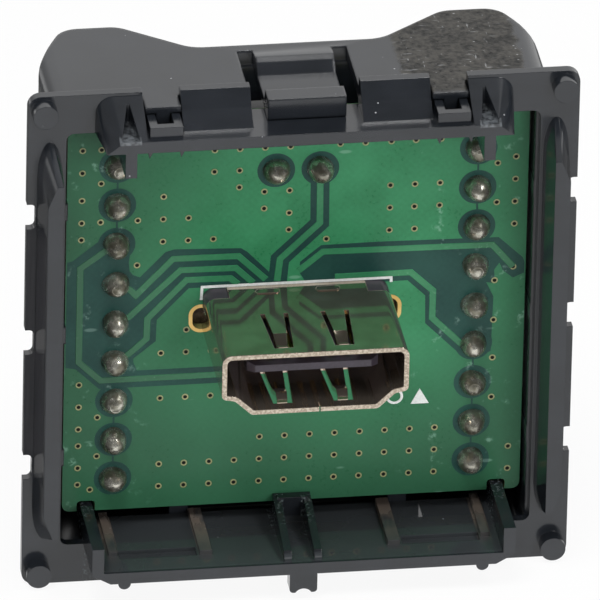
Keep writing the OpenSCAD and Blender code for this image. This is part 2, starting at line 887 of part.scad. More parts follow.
front_frame();
rear_shell();
circuit_board();
receptacle_shell();
receptacle_insulator();
upper_contacts();
lower_contacts();
receptacle_solder();
at_left() terminal_housing(way_count);  // left_terminal_housing
at_right() terminal_housing(way_count);  // right_terminal_housing
at_top() terminal_housing(pair_count);  // top_terminal_housing
at_left() clamp_cages(way_count);  // left_clamp_cages
at_right() clamp_cages(way_count);  // right_clamp_cages
at_top() clamp_cages(pair_count);  // top_clamp_cages
at_left() clamp_screws(way_count);  // left_clamp_screws
at_right() clamp_screws(way_count);  // right_clamp_screws
at_top() clamp_screws(pair_count);  // top_clamp_screws
at_left() terminal_pins(way_count);  // left_terminal_pins
at_right() terminal_pins(way_count);  // right_terminal_pins
at_top() terminal_pins(pair_count);  // top_terminal_pins
at_left() solder_joints(way_count);  // left_solder_joints
at_right() solder_joints(way_count);  // right_solder_joints
at_top() solder_joints(pair_count);  // top_solder_joints
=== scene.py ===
import math

import bmesh
import bpy
import numpy as np
from mathutils import Matrix, Vector


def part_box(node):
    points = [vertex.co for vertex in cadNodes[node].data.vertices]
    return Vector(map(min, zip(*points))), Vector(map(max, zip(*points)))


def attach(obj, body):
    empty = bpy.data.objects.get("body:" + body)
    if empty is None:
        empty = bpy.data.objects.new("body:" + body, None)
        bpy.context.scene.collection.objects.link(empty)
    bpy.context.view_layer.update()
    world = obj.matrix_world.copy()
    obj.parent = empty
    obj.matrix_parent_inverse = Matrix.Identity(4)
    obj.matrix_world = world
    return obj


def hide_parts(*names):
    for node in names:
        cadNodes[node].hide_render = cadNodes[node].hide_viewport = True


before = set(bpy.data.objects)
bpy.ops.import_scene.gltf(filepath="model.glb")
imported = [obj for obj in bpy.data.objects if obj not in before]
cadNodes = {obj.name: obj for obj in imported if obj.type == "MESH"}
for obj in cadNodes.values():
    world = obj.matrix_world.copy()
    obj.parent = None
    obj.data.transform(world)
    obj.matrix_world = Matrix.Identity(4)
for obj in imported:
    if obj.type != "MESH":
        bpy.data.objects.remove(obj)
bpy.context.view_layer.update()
scene = bpy.context.scene
scene.view_settings.view_transform = "Standard"
mm = 0.001
print("frame loaded:", len(cadNodes), "nodes")


# a colour written as 0-255 screen values, turned to linear light
def tone(red, green, blue):
    values = np.array([red, green, blue]) / 255.0
    linear = np.where(values <= 0.04045, values / 12.92, ((values + 0.055) / 1.055) ** 2.4)
    return (*(float(v) for v in linear), 1.0)


class Wire:
    # one socket of a shader tree: arithmetic on it adds Math nodes
    def __init__(self, tree, socket=None):
        self.tree = tree
        self.socket = socket

    # adds a node: settings first, then a value or a link for each named socket
    def make(self, kind, settings=None, sockets=None, out=0):
        node = self.tree.nodes.new("ShaderNode" + kind)
        for name, value in (settings or {}).items():
            setattr(node, name, value)
        for key, value in (sockets or {}).items():
            if isinstance(value, Wire):
                self.tree.links.new(value.socket, node.inputs[key])
            else:
                node.inputs[key].default_value = value
        return Wire(self.tree, node.outputs[out]) if node.outputs else None

    def math(self, operation, first, second=0.0):
        return self.make("Math", {"operation": operation}, {0: first, 1: second})

    def __add__(self, other):
        return self.math("ADD", self, other)

    def __radd__(self, other):
        return self.math("ADD", other, self)

    def __sub__(self, other):
        return self.math("SUBTRACT", self, other)

    def __rsub__(self, other):
        return self.math("SUBTRACT", other, self)

    def __mul__(self, other):
        return self.math("MULTIPLY", self, other)

    def __rmul__(self, other):
        return self.math("MULTIPLY", other, self)

    def __abs__(self):
        return self.math("ABSOLUTE", self)

    def wave(self):
        return self.math("SINE", self)

    def root(self):
        return self.math("SQRT", self)

    def larger(self, other):
        return self.math("MAXIMUM", self, other)

    def smaller(self, other):
        return self.math("MINIMUM", self, other)

    # 0 below low, 1 above high, an S curve between; low may be the greater
    def ease(self, low, high):
        return self.make("MapRange", {"interpolation_type": "SMOOTHSTEP"},
                         {"Value": self, "From Min": low, "From Max": high})

    # this value chooses between two colours
    def between(self, first, second):
        return self.make("Mix", {"data_type": "RGBA"}, {0: self, 6: first, 7: second}, 2)

    def axis(self, index):
        return self.make("SeparateXYZ", None, {0: self}, index)

    def stretched(self, x, y, z):
        return self.make("Mapping", None, {"Vector": self, "Scale": (x, y, z)})

    # cloudy noise with this many lumps to a millimetre
    def noise(self, scale, detail=2.0):
        return self.make("TexNoise", None, {"Vector": self, "Scale": scale, "Detail": detail})

    # small round spots: near a cell's point, in the share of cells that is kept
    def spots(self, scale, size, share):
        near = self.make("TexVoronoi", None, {"Vector": self, "Scale": scale}, "Distance")
        pick = self.make("TexVoronoi", None, {"Vector": self, "Scale": scale}, "Color")
        return near.ease(size, size * 0.5) * pick.axis(0).ease(1.0 - share, 1.01 - share)

    # a normal that turns smoothly round edges within a radius in millimetres
    def softNormal(self, radius):
        return self.make("Bevel", {"samples": 6}, {"Radius": radius * mm})

    # height in millimetres to a normal, over edges softened by a radius or over another normal
    def bump(self, strength, depth, soft=0.0, under=None):
        sockets = {"Height": self, "Strength": strength, "Distance": depth * mm}
        if soft:
            sockets["Normal"] = self.softNormal(soft)
        if under:
            sockets["Normal"] = under
        return self.make("Bump", None, sockets)


# a material with its fixed socket values, its shader and its place in millimetres
def startFinish(name, fixed):
    material = bpy.data.materials.new(name)
    material.use_nodes = True
    shader = material.node_tree.nodes["Principled BSDF"]
    for socket, value in fixed.items():
        shader.inputs[socket].default_value = value
    base = Wire(material.node_tree)
    inMetres = base.make("TexCoord", None, None, "Object")
    place = base.make("VectorMath", {"operation": "SCALE"}, {0: inMetres, "Scale": 1.0 / mm})
    return material, shader, place


# links a wire to a named socket of the shader
def feed(shader, socket, wire):
    wire.tree.links.new(wire.socket, shader.inputs[socket])


# wear and painted light on the front frame, each as a mask of the place times a noise: scuffed ribs,
# frosted posts, a glossy floor lightened by a painted reflection, gusset pockets lightened by painted
# light, and left tabs whose normal leans past a line, streaked and given a paler tint as painted light
def addWearAndPaintedLight(place, wearAndLight, colour, rough, height, normal):
    side, depth, rise = (place.axis(i) for i in range(3))
    across = abs(side)
    ribs, posts, deck, pocket, tabs = (wearAndLight[k] for k in ("ribs", "posts", "deck", "pocket", "tabs"))

    # 1 near either place on both sides of the middle, below a top and fading in with depth
    def standing(part):
        near = [abs(across - at).ease(part["half"], part["half"] - 0.1) for at in part["at"]]
        below = rise.ease(part["top"] + part["fade"], part["top"])
        return near[0].larger(near[1]) * below * depth.ease(*part["depth"])

    scuff = standing(ribs) * place.stretched(1.0, 0.3, 1.0).noise(1.2, 3.0).ease(0.25, 0.6)
    frost = standing(posts) * place.noise(3.2, 4.0).ease(0.5, 0.72)
    onDeck = across.ease(deck["half"], deck["half"] - 0.2) * \
        rise.ease(deck["top"] + 0.3, deck["top"]) * \
        depth.ease(deck["front"], deck["front"] + 0.2)
    # the deck's paler tint is a painted reflection, lifting the glossy floor as a reflection would
    colour = (onDeck * deck["most"]).between(colour, deck["tint"])
    colour = (frost * posts["most"]).between(scuff.between(colour, ribs["tint"]), posts["tint"])
    inPocket = across.ease(pocket["inner"] - 0.1, pocket["inner"]) * \
        across.ease(pocket["outer"] + 0.1, pocket["outer"]) * \
        abs(rise - pocket["floor"]).ease(0.3, 0.15) * \
        depth.ease(pocket["back"] + 0.1, pocket["back"])
    # the pocket floors are painted paler: painted light where the real floors catch light
    paintedPocketLight = place.noise(2.4, 4.0).ease(0.35, 0.65).between(pocket["dark"], pocket["pale"])
    colour = inPocket.between(colour, paintedPocketLight)
    onTabs = abs(rise).ease(tabs["half"] + 0.05, tabs["half"] - 0.05) * \
        depth.ease(tabs["front"] - 0.2, tabs["front"])
    # the left tabs get noise streaks and a paler tint; the paler tint is painted light that lifts them
    streakedPaintedLift = onTabs * side.ease(tabs["from"] + 0.4, tabs["from"] + 0.2) * \
        abs(rise).ease(tabs["half"], tabs["half"] - tabs["fade"])
    lines = place.stretched(4.0, 1.5, 0.12).noise(1.0, 3.0).ease(0.25, 0.75)
    colour = streakedPaintedLift.between(colour, lines.between(tabs["dark"], tabs["pale"]))
    rough = rough * (1.0 - onDeck * 0.7) + scuff * 0.3 + frost * 0.2
    height = height * (1.0 - onDeck * 0.8) * (1.0 - streakedPaintedLift)
    lean = (side - tabs["from"]).smaller(0.0) * onTabs
    return colour, rough, height, (lean * tabs["slope"]).bump(1.0, 1.0, under=normal)


# a rubbed patch between two corners, with a ragged edge: mottled grit that shines like graphite,
# crossed hairs in clumps and pale flecks; it also gives back its share of metal
def addRub(place, rub, colour, rough, height, dust):
    low, high = rub["low"], rub["high"]
    edge = (place.noise(0.9, 3.0) - 0.5) * rub["ragged"]
    inside = [(place.axis(i) + edge).ease(low[i] - 0.3, low[i] + 0.3) *
              (place.axis(i) + edge).ease(high[i] + 0.3, high[i] - 0.3) for i in (0, 1)]
    patch = inside[0] * inside[1] * place.axis(2).ease(low[2] - 0.2, low[2])
    grit = place.noise(2.6, 5.0)
    mottle = (place.noise(0.6, 5.0) * 0.4 + grit * 0.6).ease(0.35, 0.65)
    clump = place.noise(0.45, 3.0).ease(0.42, 0.6)
    flat = place.stretched(0.3, 2.0, 1.0).noise(2.4, 3.0).ease(0.62, 0.72)
    upright = place.stretched(1.8, 0.35, 1.0).noise(2.2, 3.0).ease(0.64, 0.74)
    hairs = flat.larger(upright) * clump
    large = place.stretched(0.6, 1.0, 1.0).spots(1.7, 0.12, 0.3)
    flecks = large.larger(place.spots(3.2, 0.2, 0.12) * 0.5)
    colour = patch.between(colour, mottle.between(rub["dark"], rub["pale"]))
    dust = dust.larger(patch * flecks).larger(patch * hairs * 0.8)
    rough = rough + patch * (0.1 + mottle * 0.15)
    height = height + patch * grit * rub["grit"]
    return colour, rough, height, dust, patch * (0.9 - mottle * 0.5)


# anthracite moulding: cloud and flow tint it, grain roughens it, dust sits in rare cells,
# and wear with painted light, or a rubbed patch, goes over that
def mouldedFinish(name, look):
    material, shader, place = startFinish(name, {"Specular IOR Level": look["gloss"]})
    cloud = place.noise(0.16, 4.0)
    grain = place.noise(7.0, 2.0)
    flow = place.stretched(0.35, 0.35, 2.2).noise(0.9, 2.0)
    colour = (cloud * 0.7 + flow * 0.3).ease(0.3, 0.7).between(look["dark"], look["pale"])
    dust = place.spots(0.5, 0.045, 0.35).larger(place.spots(1.3, 0.08, 0.06) * 0.6)
    rough = look["rough"] + (grain - 0.5) * 0.08 + (cloud - 0.5) * 0.1
    height = grain * 0.6 + flow * 0.4
    normal = place.softNormal(look["soft"])
    if "wearAndLight" in look:
        colour, rough, height, normal = addWearAndPaintedLight(place, look["wearAndLight"], colour, rough, height, normal)
    if "rub" in look:
        colour, rough, height, dust, metal = addRub(place, look["rub"], colour, rough, height, dust)
        feed(shader, "Metallic", metal)
    feed(shader, "Base Color", (dust * 0.75).between(colour, look["dust"]))
    feed(shader, "Roughness", rough)
    feed(shader, "Normal", height.bump(look["grain"], 0.02, under=normal))
    return material


# solder mask: a cloudy green with a faint crossed weave, and painted shade that greys it with the distance
# from a centre; pale smears lie beside the columns, and the board's edge shows its laminate
def maskFinish(name, look):
    material, shader, place = startFinish(name, {"Specular IOR Level": look["gloss"]})
    across, depth, rise = (place.axis(i) for i in range(3))
    cloud = place.noise(0.22, 4.0)
    fine = place.noise(3.2, 3.0)
    weave = (across * look["weave"]).wave() * (rise * look["weave"]).wave()
    colour = (cloud * 0.75 + fine * 0.2 + weave * 0.02).ease(0.25, 0.7).between(look["dark"], look["pale"])
    # painted shade: the mask greys and darkens away from a centre
    if "paintedShade" in look:
        paintedShade = look["paintedShade"]
        sideways = (across - paintedShade["at"][0]) * (1.0 / paintedShade["reach"][0])
        upward = (rise - paintedShade["at"][1]) * (1.0 / paintedShade["reach"][1])
        far = (sideways * sideways + upward * upward).root() + (cloud - 0.5) * 0.4
        colour = (far.ease(0.3, 1.2) * paintedShade["most"]).between(colour, paintedShade["tint"])
    beside = abs(across - look["middle"]).ease(*look["beside"])
    smear = place.stretched(1.0, 1.0, 0.8).noise(0.75, 5.0).ease(0.6, 0.72) * fine.ease(0.4, 0.62) * beside
    marks = place.stretched(0.5, 1.0, 1.6).spots(0.5, 0.16, 0.12) * 0.4
    colour = marks.larger(smear * look["smear"]).between(colour, look["mark"])
    if "edge" in look:
        core = depth.ease(look["edge"]["from"], look["edge"]["from"] + 0.03) * \
            depth.ease(look["edge"]["to"], look["edge"]["to"] - 0.03)
        colour = core.between(colour, fine.between(look["edge"]["dark"], look["edge"]["pale"]))
    feed(shader, "Base Color", colour)
    feed(shader, "Roughness", look["rough"] + (fine - 0.5) * 0.12 + (cloud - 0.5) * 0.1)
    feed(shader, "Normal", (fine * 0.4 + cloud * 2.0 + weave * 0.03).bump(look["wave"], 0.03))
    return material


# bright metal: a cloudy tint, fine lines drawn out along one axis, small tarnish spots,
# and a speckled cut rim within a few hundredths of a front plane
def metalFinish(name, look):
    material, shader, place = startFinish(name, {"Metallic": look.get("metal", 1.0)})
    cloud = place.noise(0.5, 3.0)
    lines = place.stretched(*look["along"]).noise(1.0, 2.0)
    spots = place.spots(1.1, 0.14, 0.25)
    colour = cloud.ease(0.3, 0.7).between(look["dark"], look["pale"])
    if "rim" in look:
        rim = look["rim"]
        speckle = place.noise(4.5, 2.0).ease(0.4, 0.64)
        atRim = place.axis(1).ease(rim["front"] + 0.06, rim["front"] + 0.02)
        colour = atRim.between(colour, speckle.between(rim["dark"], rim["pale"]))
    feed(shader, "Base Color", (spots * 0.5).between(colour, look["tarnish"]))
    feed(shader, "Roughness", look["rough"] + (lines - 0.5) * 0.12 + spots * 0.15)
    feed(shader, "Normal", (lines * 0.4 + cloud).bump(look["wave"], 0.02, look.get("soft", 0.0)))
    return material


# solder: bright tin under a patchy brown flux skin, with slow dents
def solderFinish(name, look):
    material, shader, place = startFinish(name, {"Metallic": look["metal"]})
    cloud = place.noise(0.75, 3.0)
    skin = place.noise(1.7, 4.0).ease(0.42, 0.62)
    fine = place.noise(6.0, 2.0)
    colour = cloud.ease(0.35, 0.65).between(look["dark"], look["pale"])
    feed(shader, "Base Color", (skin * 0.6).between(colour, look["flux"]))
    feed(shader, "Roughness", look["rough"] + skin * 0.12 + (fine - 0.5) * 0.08)
    feed(shader, "Normal", (cloud * 1.5 + fine * 0.25).bump(0.5, 0.08))
    return material


# printed or moulded filler: one colour broken by a fine and a slow noise
def plainFinish(name, look):
    material, shader, place = startFinish(name, {"Specular IOR Level": look["gloss"]})
    cloud = place.noise(0.4, 3.0)
    fine = place.noise(5.0, 3.0)
    feed(shader, "Base Color", (cloud * 0.5 + fine * 0.5).ease(0.3, 0.7).between(look["dark"], look["pale"]))
    feed(shader, "Roughness", look["rough"] + (fine - 0.5) * 0.2)
    feed(shader, "Normal", fine.bump(0.25, 0.02, look.get("soft", 0.0)))
    return material


# puts a piece in the scene, on the one body, and hides the node that it stands in for
def link(piece, replaced=None):
    scene.collection.objects.link(piece)
    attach(piece, "root")
    if replaced:
        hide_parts(replaced)
    return piece


mergeWithin = 0.002  # corners of a CAD node this near are one point


# a CAD node's triangles merged and shaded smooth, save where two faces meet at more than an angle
def smoothCopy(nodeName, name, finish, angle=17.0):
    source = cadNodes[nodeName].data
    points = np.empty(len(source.vertices) * 3, np.float32)
    source.vertices.foreach_get("co", points)
    corners = np.empty(len(source.loops), np.int32)
    source.loops.foreach_get("vertex_index", corners)
    mesh = bpy.data.meshes.new(name)
    mesh.from_pydata(points.reshape(-1, 3), [], corners.reshape(-1, 3))
    work = bmesh.new()
    work.from_mesh(mesh)
    bmesh.ops.remove_doubles(work, verts=work.verts, dist=mergeWithin * mm)
    work.to_mesh(mesh)
    work.free()
    mesh.shade_smooth()
    mesh.set_sharp_from_angle(angle=math.radians(angle))
    mesh.materials.append(finish)
    piece = bpy.data.objects.new(name, mesh)
    even = piece.modifiers.new("evenShade", "WEIGHTED_NORMAL")
    even.weight = 100
    even.keep_sharp = True
    return link(piece, nodeName)


# closed shells put in one mesh, each turned to face outwards, and smooth up to an angle if one is given
def shellMesh(name, shells, finish, smoothTo=None):
    points, faces, count = [], [], 0
    for grid, closed in shells:
        rings, around = grid.shape[:2]
        index = np.arange(rings * around).reshape(rings, around) + count
        ahead = np.roll(index, -1, axis=0) if closed else index[1:]
        here = index if closed else index[:-1]
        quads = np.stack([here, np.roll(here, -1, 1), np.roll(ahead, -1, 1), ahead], -1)
        faces += quads.reshape(-1, 4).tolist()
        if not closed:
            faces += [index[0].tolist(), index[-1].tolist()]
        points.append(grid.reshape(-1, 3))
        count += rings * around
    mesh = bpy.data.meshes.new(name)
    mesh.from_pydata(np.concatenate(points) * mm, [], faces)
    work = bmesh.new()
    work.from_mesh(mesh)
    bmesh.ops.recalc_face_normals(work, faces=work.faces)
    work.to_mesh(mesh)
    work.free()
    if smoothTo:
        mesh.shade_smooth()
        mesh.set_sharp_from_angle(angle=math.radians(smoothTo))
    mesh.materials.append(finish)
    return bpy.data.objects.new(name, mesh)


boardFace = 2.5  # depth of the board's front face


# an outline of (x, z) points held at a height in front of the board
def atHeight(outline, proud):
    outline = np.asarray(outline, float)
    return np.stack([outline[:, 0], np.full(len(outline), boardFace - proud), outline[:, 1]], 1)


# an outline carried from the board's face to a height
def slab(outline, proud):
    return np.stack([atHeight(outline, 0.0), atHeight(outline, proud)]), False


# a band between two outlines of equal count, as a closed ring of four edges
def band(outer, inner, proud):
    rings = [atHeight(outer, 0.0), atHeight(outer, proud), atHeight(inner, proud), atHeight(inner, 0.0)]
    return np.stack(rings), True


# a path widened on both sides: each corner moves along the mean of its two normals
def ribbon(path, width):
    path = np.asarray(path, float)
    edges = np.diff(path, axis=0)
    edges /= np.linalg.norm(edges, axis=1)[:, None]
    normals = np.stack([-edges[:, 1], edges[:, 0]], 1)
    mitre = np.vstack([normals[:1], normals]) + np.vstack([normals, normals[-1:]])
    mitre *= (width / (mitre ** 2).sum(1))[:, None]
    return np.vstack([path + mitre, (path - mitre)[::-1]])


# a ribbon whose sides lean in from its foot to its top
def raised(path, width, proud):
    foot = atHeight(ribbon(path, width + proud), 0.0)
    top = atHeight(ribbon(path, width - proud), proud)
    return np.stack([foot, top]), False


# cosine and sine of equal turns, times a radius
def circle(centre, radius, count):
    turn = np.arange(count) * 2 * np.pi / count
    return np.asarray(centre) + radius * np.stack([np.cos(turn), np.sin(turn)], 1)


# an upright oblong with round ends
def oblong(centre, wide, tall, count=32):
    outline = circle((0, 0), wide / 2, count)
    outline[:, 1] += np.sign(outline[:, 1] + 1e-9) * (tall - wide) / 2
    return np.asarray(centre) + outline


# camera at the photo's view
cameraView = {"aim": (1.218, 7.915, -1.830), "away": 1500.0, "azimuth": -8.8927, "height": 28.6939,
              "roll": 1.3146, "lens": 1138.09, "sensor": 36.0, "clip": (0.05, 20.0)}


# it stands off the aim point by two turns, looks at that point, then rolls about its own axis
def placeCamera(view):
    azimuth, height, roll = (math.radians(view[k]) for k in ("azimuth", "height", "roll"))
    level = math.cos(height)
    back = Vector((math.sin(azimuth) * level, -math.cos(azimuth) * level, math.sin(height)))
    side = Vector((0, 0, 1)).cross(back).normalized()
    rise = back.cross(side)
    right = side * math.cos(roll) + rise * math.sin(roll)
    up = rise * math.cos(roll) - side * math.sin(roll)
    lens = bpy.data.cameras.new("photo_camera")
    lens.sensor_width = view["sensor"]
    lens.lens = view["lens"]
    lens.clip_start, lens.clip_end = view["clip"]
    camera = bpy.data.objects.new("photo_camera", lens)
    camera.matrix_world = Matrix.Translation((Vector(view["aim"]) + back * view["away"]) * mm) @ \
        Matrix((right, up, back)).transposed().to_4x4()
    scene.collection.objects.link(camera)
    scene.camera = camera
    return back


towardCamera = placeCamera(cameraView)
print("camera placed")

# mouldings
moulding = {"dark": tone(26, 29, 33), "pale": tone(35, 38, 43), "dust": tone(176, 178, 180),
            "gloss": 0.69, "grain": 0.12}
frameWearAndLight = {
    "ribs": {"at": (7.5, 14.85), "half": 0.58, "top": -17.9, "fade": 0.1, "depth": (-4.5, 3.0),
             "tint": tone(104, 94, 86)},
    "posts": {"at": (1.2, 16.4), "half": 0.58, "top": -15.9, "fade": 0.3, "depth": (-2.5, 2.0),
              "tint": tone(132, 146, 146), "most": 0.4},
    # the deck tint is a painted reflection that lightens the glossy floor
    "deck": {"half": 16.0, "top": -18.0, "front": -4.9, "tint": tone(70, 74, 76), "most": 0.5},
    # the pocket colours are painted light on the gusset pocket floors
    "pocket": {"inner": 13.4, "outer": 15.0, "floor": 19.4, "back": -0.7,
               "dark": tone(50, 53, 56), "pale": tone(98, 102, 106)},
    # the tab colours are streaks with a paler tint painted on as light
    "tabs": {"from": -20.3, "half": 11.2, "fade": 2.0, "front": -3.3, "slope": 0.36,
             "dark": tone(44, 45, 48), "pale": tone(55, 55, 58)},
}
lobeRub = {"low": (8.1, -0.9, 20.3), "high": (17.8, 13.5, 22.0), "ragged": 1.2, "grit": 12.0,
           "dark": tone(24, 24, 22), "pale": tone(61, 58, 52)}
anthracite = dict(moulding, rough=0.16, soft=0.08, wearAndLight=frameWearAndLight)
rubbed = dict(moulding, rough=0.18, soft=0.3, rub=lobeRub)
smoothCopy("front_frame", "front_frame_moulding", mouldedFinish("anthracite_moulding", anthracite))
smoothCopy("rear_shell", "rear_shell_moulding", mouldedFinish("rubbed_moulding", rubbed))
print("mouldings smoothed")

# socket
nickel = {"dark": tone(188, 174, 158), "pale": tone(208, 196, 180), "tarnish": tone(150, 132, 112),
          "rough": 0.09, "along": (0.4, 6.0, 6.0), "wave": 0.12, "soft": 0.1, "metal": 0.94,
          "rim": {"front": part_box("receptacle_shell")[0][1] / mm, "dark": tone(176, 163, 146),
                  "pale": tone(208, 196, 179)}}
insulator = {"dark": tone(52, 46, 53), "pale": tone(68, 62, 72), "rough": 0.36, "gloss": 0.5, "soft": 0.06}
gilt = {"dark": tone(190, 146, 74), "pale": tone(226, 186, 104), "tarnish": tone(120, 88, 50),
        "rough": 0.26, "along": (6.0, 0.4, 6.0), "wave": 0.1}
giltFinish = metalFinish("gilt_contact", gilt)
smoothCopy("receptacle_shell", "socket_shell", metalFinish("drawn_nickel", nickel))
smoothCopy("receptacle_insulator", "socket_insulator", plainFinish("dark_insulator", insulator))
print("socket smoothed")

# board and its artwork, drawn as thin closed slabs on its front face
# painted shade over the board, greyer and darker away from a centre
paintedBoardShade = {"at": (3.0, 6.0), "reach": (18.0, 20.0), "tint": tone(44, 74, 58), "most": 0.72}
mask = {"weave": 9.0, "wave": 0.15, "middle": -1.5, "beside": (9.0, 12.5)}
boardLook = dict(mask, dark=tone(46, 118, 78), pale=tone(62, 142, 98), mark=tone(140, 184, 162), smear=0.5,
                 rough=0.3, gloss=0.22, paintedShade=paintedBoardShade,
                 edge={"from": 2.53, "to": 4.07, "dark": tone(120, 120, 72), "pale": tone(160, 156, 100)})
bareLook = dict(mask, dark=tone(27, 60, 56), pale=tone(38, 76, 68), mark=tone(120, 150, 140), smear=0.7,
                rough=0.34, gloss=0.22)
traceLook = dict(mask, dark=tone(48, 116, 80), pale=tone(62, 134, 92), mark=tone(124, 170, 142), smear=0.5,
                 rough=0.24, gloss=0.35, paintedShade=paintedBoardShade)
inkLook = {"dark": tone(206, 210, 208), "pale": tone(232, 234, 232), "rough": 0.6, "gloss": 0.3}
landLook = {"dark": tone(208, 172, 104), "pale": tone(238, 210, 144), "tarnish": tone(130, 98, 54),
            "rough": 0.3, "along": (1.0, 1.0, 1.0), "wave": 0.2}
ringLook = {"dark": tone(118, 124, 84), "pale": tone(162, 160, 116), "rough": 0.4, "gloss": 0.5}
# near-black discs over the vias are painted shade in place of open holes
boreShadeLook = {"dark": tone(14, 16, 14), "pale": tone(26, 28, 24), "rough": 0.7, "gloss": 0.2}

# heights over the board, widths, then outlines and paths as (x, z) points
art = {
    "lineProud": 0.005, "ribbonProud": 0.006, "gapProud": 0.008, "clearProud": 0.01, "boreProud": 0.015,
    "landProud": 0.03, "traceProud": 0.04, "inkProud": 0.055,
    "traceWide": 0.52, "ribbonWide": 1.5, "lineWide": 0.16, "clearRadius": 1.5, "sides": 40,
    "traces": [
        [(-14.25, 7), (-15, 6.6), (-17.15, 5), (-17.15, -3.4), (-15.4, -5.15), (-5, -5.15)],
        [(-14.25, 3.5), (-13.2, 2.9), (-12.7, 2.35), (-9.8, 5.45), (-4.6, 5.4), (-2.4, 3.2)],
        [(-14.25, 0), (-13.2, 0.45), (-9.2, 4.4), (-4.8, 4.35), (-3.4, 2.95)],
        [(-14.25, -3.5), (-13.2, -2.9), (-11.8, -1.6), (-11.75, 0.2), (-8.7, 3.5), (-5.2, 3.45),
         (-4.6, 2.9)],
        [(0.2, 3.8), (2.1, 5.4), (15.6, 5.25), (17.3, 3.2)],
        [(3.1, 3.1), (9.15, 3.15), (10.95, 1.4), (10.95, -1.05), (13.3, -3.5), (14.25, -3.5)],
        [(1.75, 12.9), (1.8, 8), (-1.3, 4.95), (-1.5, 3)],
    ],
    "ribbons": [
        [(-15.5, -5.15), (-5, -5.15)],
        [(1.75, 12), (1.8, 8), (-1.3, 4.95), (-1.5, 2.4)],
    ],
    "gaps": [
        [(-15.4, 7.6), (-17.75, 5.7), (-18.2, 5.6), (-18.2, -3.85), (-17.4, -4), (-15.5, -5.9),
         (-12.5, -5.9), (-12.5, -4.4), (-12.9, -3.4), (-11.05, -1.85), (-11, 0.05), (-8.5, 2.75),
         (-5.2, 2.75), (-4.2, 2.2),
         (-1.9, 2.2), (-2, 3.7), (-3.9, 5.75), (-4.4, 6.1), (-9.7, 6.3), (-10.4, 6.1), (-12.4, 3.95),
         (-13.2, 4.3), (-13.3, 5.3), (-13.1, 7)],
        [(0.3, 4.6), (1.95, 6), (6.3, 6.05), (13, 5.95), (16.1, 5.9), (18.05, 4), (18.2, 3.6),
         (18.2, 2.6), (17.3, 2.2), (16.5, 2.9), (16.2, 3.6), (15.8, 3), (15.9, 1.8), (15.2, 1.9),
         (15.8, 0.6), (15.7, -4.3), (14.3, -5), (12.9, -4.1), (10.4, -1.5), (10.35, 1), (8.9, 2.45),
         (3, 2.4), (1, 2.4), (0.3, 3.6)],
    ],
    "inkWide": 0.22,
    "inkLines": [[(-7.5, 1.65), (-7.45, 2.8), (7.58, 2.8), (7.6, 2.4)]],
    "inkRing": {"at": (8.1, -7.95), "outer": 0.68, "inner": 0.48},
    "inkWedge": [(10.1, -7.35), (9.4, -8.7), (10.85, -8.7)],
    "landAt": 7.5, "landWide": 1.95, "landTall": 2.5, "landSlot": (1.35, 1.9),
}
solderAt = {"column": 14.3, "pitch": 3.5, "ways": 9, "pairAt": 1.75, "pairHigh": 12.9}
ways = (np.arange(solderAt["ways"]) - (solderAt["ways"] - 1) / 2) * solderAt["pitch"]
leftJoints = [(-solderAt["column"], z) for z in ways]
rightJoints = [(solderAt["column"], z) for z in ways]
topJoints = [(side * solderAt["pairAt"], solderAt["pairHigh"]) for side in (-1, 1)]

# rows and columns of small plated holes: a height or a place across, then the places along it
grid = -10.63 + 2 * np.arange(12)
viaRows = [
    (-14.95, grid), (-12.95, grid), (-10.95, grid[4:]), (-7, grid[:3]), (-2.95, grid[:3]),
    (-0.95, grid[1:2]), (7.05, grid[:3]), (9.05, [-12.65, -10.63, -8.63]), (11.05, [-10.63]),
    (5.05, [-12.65]),
    (14.97, [-6.65, -4.65, -2.65, -0.65, 3.3, 5.3, 7.35, 9.3, 11.3]), (13.05, [-6.65, -4.65]),
    (11.55, [-4.65]), (11.05, [-2.65, -0.65]), (9.55, [-2.65]), (9.05, [-0.65]), (7.55, [-0.65]),
    (6.55, [2.35]),
    (11.05, [7.35, 9.3, 11.3]), (9.05, [7.35, 9.3, 11.3]), (7.05, [7.35, 9.35]),
]
viaColumns = [
    (-17.1, [15.5, 13.5, 11.05, 9.05, 7.55, -5.45, -7.45, -9.45, -10.95, -12.95, -14.45]),
    (-15.6, [15.5, 12.5, 9.05, -8.45, -11.95]), (-16.1, [-14.95]),
    (15.85, [12.55, 9.05, 2.05, -1.5, -4.9, -8.45]), (17.3, [13.05, 11.05, 9.05, 7.05, 3.2, -13, -15]),
]
viaLook = {"ring": 0.27, "bore": 0.16, "sides": 14}
vias = [(x, z) for z, xs in viaRows for x in xs] + [(x, z) for x, zs in viaColumns for z in zs]

boardFinish = maskFinish("solder_mask", boardLook)
bareFinish = maskFinish("bare_laminate", bareLook)
traceFinish = maskFinish("covered_trace", traceLook)
gapShells = [slab(points, art["gapProud"]) for points in art["gaps"]]
gapShells += [slab(ribbon(path, art["ribbonWide"]), art["ribbonProud"]) for path in art["ribbons"]]
gapShells += [slab(ribbon([(x, ways[0]), (x, ways[-1])], art["lineWide"]), art["lineProud"])
              for x in (-solderAt["column"], solderAt["column"])]
gapShells += [slab(circle(at, art["clearRadius"], art["sides"]), art["clearProud"])
              for at in leftJoints + rightJoints + topJoints]
link(shellMesh("board_gaps", gapShells, bareFinish))
traceShells = [raised(path, art["traceWide"], art["traceProud"]) for path in art["traces"]]
link(shellMesh("board_traces", traceShells, traceFinish))
inkShells = [slab(ribbon(path, art["inkWide"]), art["inkProud"]) for path in art["inkLines"]]
inkRing = art["inkRing"]
inkShells.append(band(circle(inkRing["at"], inkRing["outer"], art["sides"]),
                      circle(inkRing["at"], inkRing["inner"], art["sides"]), art["inkProud"]))
inkShells.append(slab(art["inkWedge"], art["inkProud"]))
link(shellMesh("board_ink", inkShells, plainFinish("white_ink", inkLook)))
